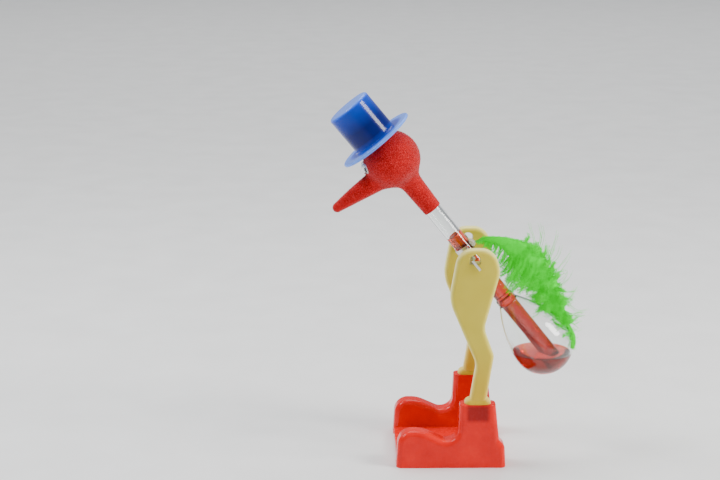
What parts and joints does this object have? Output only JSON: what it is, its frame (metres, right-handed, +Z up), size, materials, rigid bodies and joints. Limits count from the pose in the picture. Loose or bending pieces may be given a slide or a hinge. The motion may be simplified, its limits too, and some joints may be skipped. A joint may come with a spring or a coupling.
{
  "type": "drinking bird",
  "caption": "Dipping desk toy: a glass bird with a felt head, top hat and feather, rocking on a steel clip between plastic legs in boots.",
  "frame": {"origin": "middle of the bounding box at rest, on the surface that the boots stand on", "axes": "+Z up, the bird faces -X, +Y runs along the swing axis towards the bird's right side"},
  "size_m": [0.1134, 0.0534, 0.1653],
  "materials": {
    "shoe_red": "glossy moulded, slightly translucent",
    "leg_ivory": "satin moulded, slightly translucent",
    "clear_glass": "clear, blown",
    "red_liquid": "clear red-dyed liquid",
    "red_felt": "flocked felt",
    "beak_plastic": "moulded, hidden under the felt",
    "blue_hat": "glossy moulded",
    "clear_glue": "set clear glue",
    "eye_white": "printed card-like disc",
    "eye_clear": "clear dome",
    "eye_black": "matt disc",
    "clip_steel": "thin bent strip",
    "feather_green": "dyed down",
    "quill_green": "dyed quill"
  },
  "bodies": {
    "stand": {"shoe_base": "shoe_red", "left_leg": "leg_ivory", "right_leg": "leg_ivory"},
    "bird": {"neck_tube": "clear_glass", "lower_bulb": "clear_glass", "head_bulb": "clear_glass", "liquid_column": "red_liquid", "beak_core": "beak_plastic", "flock_cover": "red_felt", "top_hat": "blue_hat", "hat_glue": "clear_glue", "left_eye_cup": "eye_white", "right_eye_cup": "eye_white", "left_eye_lens": "eye_clear", "right_eye_lens": "eye_clear", "pivot_clip": "clip_steel", "feather_quill": "quill_green", "feather_vane": "feather_green", "feather_glue": "clear_glue"},
    "liquid": {"liquid_pool": "red_liquid"},
    "left_eye": {"left_pupil": "eye_black"},
    "right_eye": {"right_pupil": "eye_black"}
  },
  "joints": [
    {"name": "swing", "type": "hinge", "parent": "stand", "child": "bird", "pos_m": [0.00617, 0, 0.0936], "axis": [0, -1, 0], "range_deg": [-50, 50]},
    {"name": "liquid_level", "type": "hinge", "parent": "bird", "child": "liquid", "pos_m": [0.03955, 0, 0.04961], "axis": [0, -1, 0], "range_deg": [-50, 50]},
    {"name": "left_pupil_spin", "type": "hinge", "parent": "bird", "child": "left_eye", "pos_m": [-0.04097, -0.0032, 0.13195], "axis": [-0.9183, -0.259, -0.2995], "continuous": true},
    {"name": "right_pupil_spin", "type": "hinge", "parent": "bird", "child": "right_eye", "pos_m": [-0.04097, 0.0032, 0.13195], "axis": [-0.9183, 0.259, -0.2995], "continuous": true}
  ],
  "couplings": [
    {"joint": "liquid_level", "follows": "swing", "ratio": -1}
  ]
}
